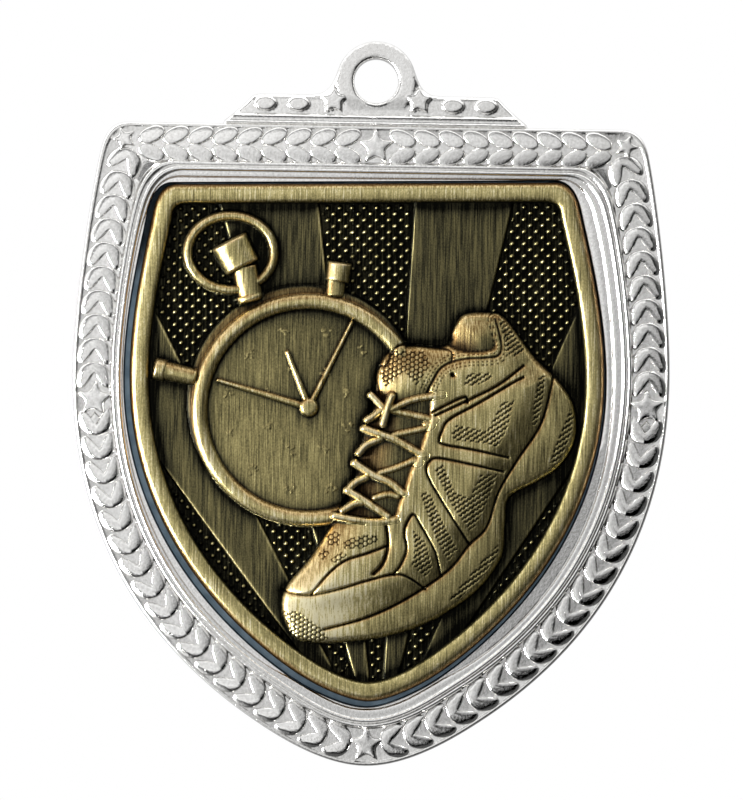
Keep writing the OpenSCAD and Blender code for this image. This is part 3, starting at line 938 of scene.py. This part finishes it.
def add_collar(relief):
    """The opening of the shoe: its far wall is high at the top and falls into the dark below."""
    shape = smooth_line(COLLAR, closed=True, steps=4)
    part = near(shape, 0.5)
    inside = step(depth_in(shape, GX[part], GZ[part]), -0.1, 0.45)
    low = 1 - step(GZ[part], -31.2, -26.8)
    relief.h[part] -= inside * (0.12 + 0.3 * low)
    relief.extra[part] += inside * (0.08 - 0.55 * low)


def add_upper_details(relief):
    add_throat(relief)
    add_collar(relief)
    for line in (MIDSOLE, TOE_LINE, VAMP_LINE, QUARTER, U_PANEL, HEEL_PANEL, STRIPE, PULL_LOOP):
        groove(relief, line)
    groove(relief, STRAP, 0.3, 0.18)
    groove(relief, COLLAR_EDGE, 0.16, 0.14)
    groove(relief, TONGUE[:9], 0.16, 0.12)
    for offset in (0.42, 0.8):
        stitches(relief, COLLAR_EDGE, offset)
    for patch in MESH_PATCHES:
        mesh_patch(relief, patch)
    for patch in HONEYCOMB_PATCHES:
        bump_patch(relief, patch, 0.56, 0.05)
    for patch in STUD_PATCHES:
        bump_patch(relief, patch, 0.55, 0.1)
    part = near([EYELET], 0.6)
    hole = np.exp(-(np.hypot(GX[part] - EYELET[0], GZ[part] - EYELET[1]) / 0.26) ** 2)
    relief.h[part] -= 0.4 * hole
    relief.extra[part] -= 0.8 * hole


# Laces: the bars lie over the crosses
LACE_CROSSES = [
    [(0.0, -35.6), (0.7, -36.3), (1.3, -36.9)], [(-0.4, -38.4), (0.4, -37.9), (1.3, -37.2)],
    [(2.4, -37.3), (4.8, -37.8), (7.3, -38.3)], [(-1.3, -42.2), (-0.4, -41.2), (1.2, -40.5)],
    [(2.6, -40.1), (4.8, -39.6), (6.4, -39.2)], [(-2.5, -46.4), (-1.5, -45.4), (-0.4, -44.9)],
    [(1.1, -44.4), (3.0, -43.8), (4.8, -43.0)], [(-3.0, -48.7), (-1.7, -47.9), (-0.6, -47.7)],
    [(0.6, -47.2), (2.2, -46.8), (3.2, -47.0)]]
LACE_BARS = [
    [(2.4, -37.1), (4.8, -36.05), (8.0, -35.5)],
    [(-0.7, -39.4), (1.2, -40.0), (2.7, -40.5), (4.3, -41.4), (6.2, -42.4)],
    [(-1.7, -43.3), (0.4, -44.6), (2.2, -45.4), (3.9, -46.7)],
    [(-2.5, -46.4), (-0.7, -47.4), (0.6, -48.3), (2.1, -49.3)],
    [(-3.9, -49.3), (-1.5, -49.7), (0.6, -49.9), (3.0, -49.7)]]
LACE_KNOT = [(2.35, -35.7), (1.9, -37.0), (1.4, -38.8)]
LACE_BASE = 3.9


def add_laces(relief):
    for line in LACE_CROSSES:
        tube(relief, smooth_line(line, steps=4), 0.41, LACE_BASE, 0.6, LACE)
    for line in LACE_BARS:
        tube(relief, smooth_line(line, steps=4), 0.46, LACE_BASE, 0.8, LACE)
    for spot in ((6.4, -38.8), (5.1, -43.0)):
        tube(relief, [spot, (spot[0] + 0.3, spot[1] - 0.1)], 0.62, LACE_BASE, 0.6, LACE)
    tube(relief, smooth_line(LACE_KNOT, steps=4), 0.5, LACE_BASE, 0.95, LACE)


def blurred(values, radius):
    """Repeated box blur, with a reach in millimetres."""
    n = max(1, int(round(radius / GRID)))
    for axis in (0, 1):
        for _ in range(2):
            pad = [(0, 0), (0, 0)]
            pad[axis] = (n + 1, n)
            total = np.cumsum(np.pad(values, pad, mode="edge"), axis=axis)
            high = np.take(total, range(2 * n + 1, total.shape[axis]), axis=axis)
            low = np.take(total, range(0, total.shape[axis] - 2 * n - 1), axis=axis)
            values = (high - low) / (2 * n + 1)
    return values


# Heights above the back, and how far the finish is rubbed off at each
LEVELS = (2.2, 2.4, 2.6, 2.7, 2.9, 3.2, 3.6, 4.2, 4.6)
LEVEL_POLISH = (0.0, 0.02, 0.22, 0.3, 0.5, 0.54, 0.6, 0.66, 0.72)
# Where a painted highlight brightens the toe: x, z and reach
TOE_HIGHLIGHT = (-6.0, -60.3, 5.0)


def brown_shade_of(relief):
    """Painted shade: a brown tint on the raised slopes that face up and to the left."""
    soft = blurred(relief.h, 0.15)
    fall_z, fall_x = np.gradient(-soft, GRID)
    facing = 0.85 * fall_z - 0.5 * fall_x
    return np.clip(1.8 * facing, 0.0, 0.75) * step(relief.h, 2.75, 3.1)


def wear_and_shade_of(relief, rim_depth):
    """How bright the metal is: raised parts are rubbed bare and recesses keep the dark finish; painted shade
    darkens the ground round raised walls and the rim, and painted highlights brighten the toe and raised
    edges.
    """
    shaded = np.where(rim_depth < RIM_W, 3.5, relief.h)
    fine = blurred(shaded, 0.2) - relief.h
    wide = blurred(shaded, 0.7) - relief.h
    broad = blurred(shaded, 1.6) - relief.h
    value = np.interp(relief.h, LEVELS, LEVEL_POLISH) + relief.extra
    # Patina in the fine crevices; the wider and broad darkening round raised walls and the rim is painted
    # shade along with the patina
    value -= 1.8 * np.clip(fine, 0.0, 0.3) + 0.7 * np.clip(wide, 0.0, 0.8)
    value -= 0.5 * np.clip(broad, 0.0, 1.0)
    # Painted highlight: a broad bright patch on the toe
    toe = np.hypot(GX - TOE_HIGHLIGHT[0], GZ - TOE_HIGHLIGHT[1]) / TOE_HIGHLIGHT[2]
    value += 0.5 * np.exp(-toe ** 2) * (relief.piece == SHOE)
    # Raised edges brighter: rubbed wear and a painted highlight
    value += 1.2 * np.clip(-fine, 0.0, 0.2) + 0.3 * np.clip(-wide, 0.0, 0.6)
    return np.clip(value, 0.0, 1.0)


def cell_labels(relief, keep):
    """Piece of each grid cell, with lone corners filled so that every piece stays a clean solid."""
    label = np.where(keep, relief.piece, 0)[:-1, :-1]
    label = np.where((label == FIELD) & (GX[:-1, :-1] > -2.4), FIELD + 10, label)
    for _ in range(4):
        a, b = label[:-1, :-1], label[:-1, 1:]
        c, e = label[1:, :-1], label[1:, 1:]
        crossed = (a == e) & (a != b) & (a != c)
        other = (b == c) & (b != a) & (b != e) & ~crossed
        label[:-1, 1:] = np.where(crossed, a, b)
        label[:-1, :-1] = np.where(other, label[:-1, 1:], label[:-1, :-1])
    return label


def relief_solid(name, relief, looks, cells, material):
    """A closed solid: the relief over some cells, walls down to the insert's back, and a floor."""
    rows, cols = np.nonzero(cells)
    corners = ((rows, cols), (rows, cols + 1), (rows + 1, cols + 1), (rows + 1, cols))
    used = np.zeros(GX.shape, dtype=bool)
    for r, c in corners:
        used[r, c] = True
    index = np.full(GX.shape, -1)
    index[used] = np.arange(used.sum())
    quads = np.stack([index[r, c] for r, c in corners], axis=1)
    top = np.column_stack([GX[used], GZ[used], relief.h[used]])
    ahead = np.vstack([quads[:, [k, (k + 1) % 4]] for k in range(4)])
    count = len(top)
    code = ahead[:, 0] * count + ahead[:, 1]
    back = ahead[:, 1] * count + ahead[:, 0]
    border = ahead[~np.isin(code, back)]
    foot = np.full(count, -1)
    foot_top = np.unique(border)
    foot[foot_top] = count + np.arange(len(foot_top))
    floor_points = top[foot_top] * [1.0, 1.0, 0.0] + [0.0, 0.0, INSERT_BACK]
    walls = np.column_stack([border[:, 1], border[:, 0], foot[border[:, 0]], foot[border[:, 1]]])
    floor = floor_faces(floor_points, foot[border] - count, cells) + count
    faces = quads.tolist() + walls.tolist() + floor.tolist()
    obj = new_object(name, np.vstack([top, floor_points]), faces, [material], "insert")
    for key, values in looks.items():
        set_attribute(obj.data, key, np.concatenate([values[used], np.zeros(len(foot_top))]))
    sharp_sides(obj.data, len(quads))


def floor_faces(points, edges, cells):
    """Triangles that close the underside within the given cells."""
    flat = [Vector(p[:2]) for p in points]
    out = delaunay_2d_cdt(flat, edges.tolist(), [], 0, 1e-6)
    source = np.array([ids[0] for ids in out[3]])
    triangles = np.array(out[2])
    middle = np.array([out[0][i] for i in triangles.ravel()]).reshape(-1, 3, 2).mean(axis=1)
    col = np.clip(((middle[:, 0] - X_AXIS[0]) / GRID).astype(int), 0, cells.shape[1] - 1)
    row = np.clip(((middle[:, 1] - Z_AXIS[0]) / GRID).astype(int), 0, cells.shape[0] - 1)
    return source[triangles[cells[row, col]]][:, ::-1]


def sharp_sides(mesh, top_count):
    """Keeps the walls and the floor from shading into the face."""
    flat = np.zeros(len(mesh.polygons), dtype=bool)
    flat[top_count:] = True
    mesh.polygons.foreach_set("use_smooth", ~flat)


PIECE_NAMES = ((FIELD, "insert_field_left"), (FIELD + 10, "insert_field_right"),
               (WATCH, "insert_stopwatch"), (SHOE, "insert_shoe"), (LACE, "insert_laces"))


def build_relief(gold):
    relief = Relief()
    add_field(relief)
    add_case(relief)
    add_marks(relief)
    add_hands(relief)
    add_crown(relief)
    add_shoe(relief)
    add_upper_details(relief)
    add_laces(relief)
    rim_depth = depth_in(insert_outline(0.0), GX, GZ)
    # Brightness from wear and patina with painted highlights and painted shade, and a brown painted shade on
    # slopes
    looks = {"wear_and_shade": wear_and_shade_of(relief, rim_depth), "brown_shade": brown_shade_of(relief)}
    labels = cell_labels(relief, rim_depth > RIM_W - 0.45)
    for key, name in PIECE_NAMES:
        relief_solid(name, relief, looks, labels == key, gold)


# Materials

def make(tree, kind, inputs=None, **settings):
    """Adds a node; an input is a value or another node's socket."""
    node = tree.nodes.new(kind)
    for key, value in settings.items():
        setattr(node, key, value)
    for key, value in (inputs or {}).items():
        if isinstance(value, bpy.types.NodeSocket):
            tree.links.new(value, node.inputs[key])
        else:
            node.inputs[key].default_value = value
    return node


def math_node(tree, operation, a, b=0.0, c=0.0, clamp=False):
    inputs = {0: a, 1: b, 2: c}
    return make(tree, "ShaderNodeMath", inputs, operation=operation, use_clamp=clamp).outputs[0]


def spread(tree, value, share):
    """A noise value turned into an offset about zero."""
    return math_node(tree, "MULTIPLY", math_node(tree, "SUBTRACT", value, 0.5), share)


def new_material(name):
    material = bpy.data.materials.new(name)
    material.use_nodes = True
    tree = material.node_tree
    tree.nodes.clear()
    shader = make(tree, "ShaderNodeBsdfPrincipled")
    make(tree, "ShaderNodeOutputMaterial", {"Surface": shader.outputs[0]})
    return material, tree, shader


def millimetres(tree, scale):
    """The piece's own coordinates, in millimetres times scale."""
    place = make(tree, "ShaderNodeTexCoord").outputs["Object"]
    sizes = tuple(1000.0 * s for s in scale)
    return make(tree, "ShaderNodeMapping", {"Vector": place, "Scale": sizes}).outputs[0]


def noise(tree, scale, detail=2.0, roughness=0.5):
    inputs = {"Vector": millimetres(tree, scale), "Scale": 1.0, "Detail": detail, "Roughness": roughness}
    return make(tree, "ShaderNodeTexNoise", inputs).outputs["Fac"]


def ramp(tree, factor, stops):
    node = make(tree, "ShaderNodeValToRGB", {"Fac": factor})
    elements = node.color_ramp.elements
    while len(elements) < len(stops):
        elements.new(0.5)
    for element, (position, colour) in zip(elements, stops):
        element.position = position
        element.color = (*colour, 1.0)
    return node.outputs["Color"]


def silver_material():
    material, tree, shader = new_material("silver_plating")
    cloud = noise(tree, (0.35, 0.35, 0.35), 3.0)
    grain = noise(tree, (3.2, 3.2, 3.2), 4.0, 0.7)
    mottle = math_node(tree, "MULTIPLY_ADD", grain, 0.8, math_node(tree, "MULTIPLY", cloud, 0.2))
    colour = ramp(tree, mottle, ((0.36, (0.8, 0.79, 0.77)), (0.6, (0.97, 0.965, 0.95))))
    rough = math_node(tree, "MULTIPLY_ADD", grain, 0.08, 0.02)
    bump = make(tree, "ShaderNodeBump", {"Height": grain, "Strength": 0.8, "Distance": 0.00004})
    tree.links.new(colour, shader.inputs["Base Color"])
    tree.links.new(rough, shader.inputs["Roughness"])
    tree.links.new(bump.outputs[0], shader.inputs["Normal"])
    shader.inputs["Metallic"].default_value = 1.0
    return material


# The pocket's wall and floor: a dark blue-grey that is partly the plating's blue tint and partly painted
# shade of the deep, narrow gap round the insert
def pocket_shadow_material():
    material, tree, shader = new_material("pocket_shadow")
    cloud = noise(tree, (0.6, 0.6, 0.6), 3.0)
    colour = ramp(tree, cloud, ((0.35, (0.16, 0.23, 0.29)), (0.65, (0.26, 0.35, 0.42))))
    tree.links.new(colour, shader.inputs["Base Color"])
    shader.inputs["Metallic"].default_value = 0.8
    shader.inputs["Roughness"].default_value = 0.35
    return material


def gold_material():
    material, tree, shader = new_material("antique_gold")
    # The first attribute holds rubbed wear and patina together with painted highlights and painted shade;
    # the second is painted shade, a brown tint on slopes
    wear_and_shade = make(tree, "ShaderNodeAttribute", attribute_name="wear_and_shade").outputs["Fac"]
    brown_shade = make(tree, "ShaderNodeAttribute", attribute_name="brown_shade").outputs["Fac"]
    brush = noise(tree, (6.5, 3.0, 0.25), 1.0, 0.5)
    speck = noise(tree, (7.0, 7.0, 5.0), 2.0, 0.6)
    cloud = noise(tree, (0.25, 0.25, 0.25), 2.0)
    marks = math_node(tree, "ADD", spread(tree, brush, 1.1), spread(tree, speck, 0.6))
    texture = math_node(tree, "ADD", marks, spread(tree, cloud, 0.18))
    held = math_node(tree, "MULTIPLY", texture, math_node(tree, "ADD", wear_and_shade, 0.35, clamp=True))
    factor = math_node(tree, "ADD", wear_and_shade, held, clamp=True)
    bare = ramp(tree, factor, (
        (0.0, (0.004, 0.004, 0.003)), (0.2, (0.06, 0.055, 0.03)), (0.45, (0.22, 0.19, 0.085)),
        (0.7, (0.48, 0.41, 0.18)), (0.88, (0.74, 0.64, 0.31)), (1.0, (0.95, 0.87, 0.58))))
    brown = ramp(tree, factor, (
        (0.0, (0.02, 0.012, 0.006)), (0.5, (0.3, 0.16, 0.05)), (1.0, (0.8, 0.6, 0.3))))
    # Mixes in the brown painted shade
    colour = make(tree, "ShaderNodeMix", {"Factor": brown_shade, 6: bare, 7: brown}, data_type="RGBA")
    rough = math_node(tree, "MULTIPLY_ADD", speck, 0.2, 0.3)
    height = math_node(tree, "ADD", math_node(tree, "MULTIPLY", brush, 0.6), speck)
    bump = make(tree, "ShaderNodeBump", {"Height": height, "Strength": 0.5, "Distance": 0.00003})
    tree.links.new(colour.outputs[2], shader.inputs["Base Color"])
    tree.links.new(rough, shader.inputs["Roughness"])
    tree.links.new(bump.outputs[0], shader.inputs["Normal"])
    shader.inputs["Metallic"].default_value = 1.0
    return material


def pad_material():
    material, tree, shader = new_material("adhesive_foam")
    cells = noise(tree, (3.0, 3.0, 3.0), 2.0)
    colour = ramp(tree, cells, ((0.4, (0.55, 0.57, 0.58)), (0.6, (0.66, 0.68, 0.69))))
    tree.links.new(colour, shader.inputs["Base Color"])
    shader.inputs["Roughness"].default_value = 0.8
    return material


def floor_material():
    material, tree, shader = new_material("floor_paper")
    cloud = noise(tree, (0.05, 0.05, 0.05), 2.0)
    colour = ramp(tree, cloud, ((0.4, (0.88, 0.88, 0.88)), (0.6, (0.9, 0.9, 0.9))))
    tree.links.new(colour, shader.inputs["Base Color"])
    shader.inputs["Roughness"].default_value = 0.9
    return material


# Surroundings

def smooth_range(tree, value, low, high, to_low, to_high):
    inputs = {"Value": value, "From Min": low, "From Max": high, "To Min": to_low, "To Max": to_high}
    node = make(tree, "ShaderNodeMapRange", inputs, interpolation_type="SMOOTHSTEP")
    return node.outputs["Result"]


# The diffuser that the medal faces: distance, half its size and its middle height
PANEL_Y = -0.15
PANEL_HALF = 0.17
PANEL_Z = -0.036
# Middle of the dark gap in it, to the right and below
DARK_GAP = (0.115, -0.105)


def length_of(tree, a, b):
    """Length of the vector (a, b)."""
    total = math_node(tree, "ADD", math_node(tree, "MULTIPLY", a, a), math_node(tree, "MULTIPLY", b, b))
    return math_node(tree, "POWER", total, 0.5)


def panel_material():
    """Soft light, brighter towards the upper left, that fades out at the panel's edges."""
    material = bpy.data.materials.new("panel_glow")
    material.use_nodes = True
    tree = material.node_tree
    tree.nodes.clear()
    place = make(tree, "ShaderNodeTexCoord").outputs["Object"]
    split = make(tree, "ShaderNodeSeparateXYZ", {0: place})
    x, z = split.outputs[0], split.outputs[2]
    across = smooth_range(tree, x, -0.06, 0.06, 0.2, -0.2)
    upwards = smooth_range(tree, z, -0.08, 0.08, 0.34, 0.86)
    slope = math_node(tree, "ADD", across, upwards)
    beside = math_node(tree, "SUBTRACT", x, DARK_GAP[0])
    above = math_node(tree, "SUBTRACT", z, DARK_GAP[1])
    gap = smooth_range(tree, length_of(tree, beside, above), 0.094, 0.112, 0.0, 1.0)
    beside_low = math_node(tree, "ADD", x, 0.05)
    below = math_node(tree, "ADD", z, 0.12)
    low_glow = smooth_range(tree, length_of(tree, beside_low, below), 0.13, 0.03, 0.0, 0.45)
    fade = smooth_range(tree, length_of(tree, x, z), 0.12, PANEL_HALF, 1.0, 0.0)
    level = math_node(tree, "ADD", slope, low_glow)
    strength = math_node(tree, "MULTIPLY", math_node(tree, "MULTIPLY", level, gap), fade)
    glow = make(tree, "ShaderNodeEmission", {"Strength": strength})
    make(tree, "ShaderNodeOutputMaterial", {"Surface": glow.outputs[0]})
    return material


def add_panel():
    mesh = bpy.data.meshes.new("panel")
    s = PANEL_HALF
    mesh.from_pydata([(-s, 0, -s), (s, 0, -s), (s, 0, s), (-s, 0, s)], [], [(0, 1, 2, 3)])
    mesh.materials.append(panel_material())
    obj = bpy.data.objects.new("panel", mesh)
    obj.location = (0.0, PANEL_Y, PANEL_Z)
    obj.visible_camera = False
    bpy.context.scene.collection.objects.link(obj)


def add_world():
    """A bright tent all round and behind the medal, darker behind the panel's edges."""
    world = bpy.data.worlds.new("studio")
    bpy.context.scene.world = world
    world.use_nodes = True
    tree = world.node_tree
    tree.nodes.clear()
    way = make(tree, "ShaderNodeTexCoord").outputs["Generated"]
    split = make(tree, "ShaderNodeSeparateXYZ", {0: way})
    x, y, z = split.outputs
    left = smooth_range(tree, x, -0.3, -0.8, 0.0, 0.4)
    above = smooth_range(tree, z, 0.25, 0.7, 0.0, 0.4)
    around = smooth_range(tree, length_of(tree, x, z), 0.82, 0.96, 0.0, 1.1)
    from_left = smooth_range(tree, math_node(tree, "SUBTRACT", z, x), -0.7, 0.2, 0.1, 1.0)
    around = math_node(tree, "MULTIPLY", around, from_left)
    behind = smooth_range(tree, y, 0.15, 0.6, 0.0, 0.55)
    behind = math_node(tree, "MULTIPLY", behind, smooth_range(tree, z, -0.8, 0.6, 0.6, 1.2))
    sides = math_node(tree, "ADD", left, above)
    total = math_node(tree, "ADD", math_node(tree, "ADD", sides, around), behind)
    seen = make(tree, "ShaderNodeLightPath").outputs["Is Camera Ray"]
    strength = make(tree, "ShaderNodeMix", {"Factor": seen, 2: total, 3: 1.0}, data_type="FLOAT")
    white = (1.0, 1.0, 1.0, 1.0)
    background = make(tree, "ShaderNodeBackground", {"Color": white, "Strength": strength.outputs[0]})
    make(tree, "ShaderNodeOutputWorld", {"Surface": background.outputs[0]})


def add_area(name, position, target, size, power):
    data = bpy.data.lights.new(name, "AREA")
    data.shape = "RECTANGLE"
    data.size, data.size_y = size
    data.energy = power
    obj = bpy.data.objects.new(name, data)
    obj.location = position
    aim = Vector(target) - Vector(position)
    obj.rotation_euler = aim.to_track_quat("-Z", "Y").to_euler()
    bpy.context.scene.collection.objects.link(obj)


def add_floor():
    side = 0.4
    front = -0.35
    back = 0.15
    low = -0.1
    mesh = bpy.data.meshes.new("floor")
    corners = [(-side, front, low), (side, front, low), (side, back, low), (-side, back, low)]
    mesh.from_pydata(corners, [], [(0, 1, 2, 3)])
    mesh.materials.append(floor_material())
    obj = bpy.data.objects.new("floor", mesh)
    obj.visible_glossy = False
    bpy.context.scene.collection.objects.link(obj)


def add_camera():
    """Straight in front of the face, with the medal leaning slightly to the right in the frame."""
    distance = 0.6
    seen_height = 0.0905
    data = bpy.data.cameras.new("camera")
    data.sensor_fit = "AUTO"
    data.sensor_width = 24.0
    data.lens = data.sensor_width * distance / seen_height
    data.clip_start = 0.05
    data.clip_end = 10.0
    obj = bpy.data.objects.new("camera", data)
    obj.location = (0.00006, BACK_Y / 1000.0 - 0.003 - distance, -0.03615)
    obj.rotation_euler = (math.radians(90.0), math.radians(-0.95), 0.0)
    bpy.context.scene.collection.objects.link(obj)
    bpy.context.scene.camera = obj


def main():
    silver = silver_material()
    gold = gold_material()
    build_shield(silver, pocket_shadow_material())
    build_wreath(silver)
    build_tab(silver)
    build_rim(gold)
    build_relief(gold)
    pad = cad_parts["adhesive_pad"].data
    pad.materials.clear()
    pad.materials.append(pad_material())
    add_world()
    add_area("low_left_lamp", (-0.5, -0.2, -0.2), (0.0, 0.0, -0.04), (0.3, 0.3), 15.0)
    add_panel()
    add_floor()
    add_camera()
    bpy.context.scene.view_settings.view_transform = "Standard"


main()
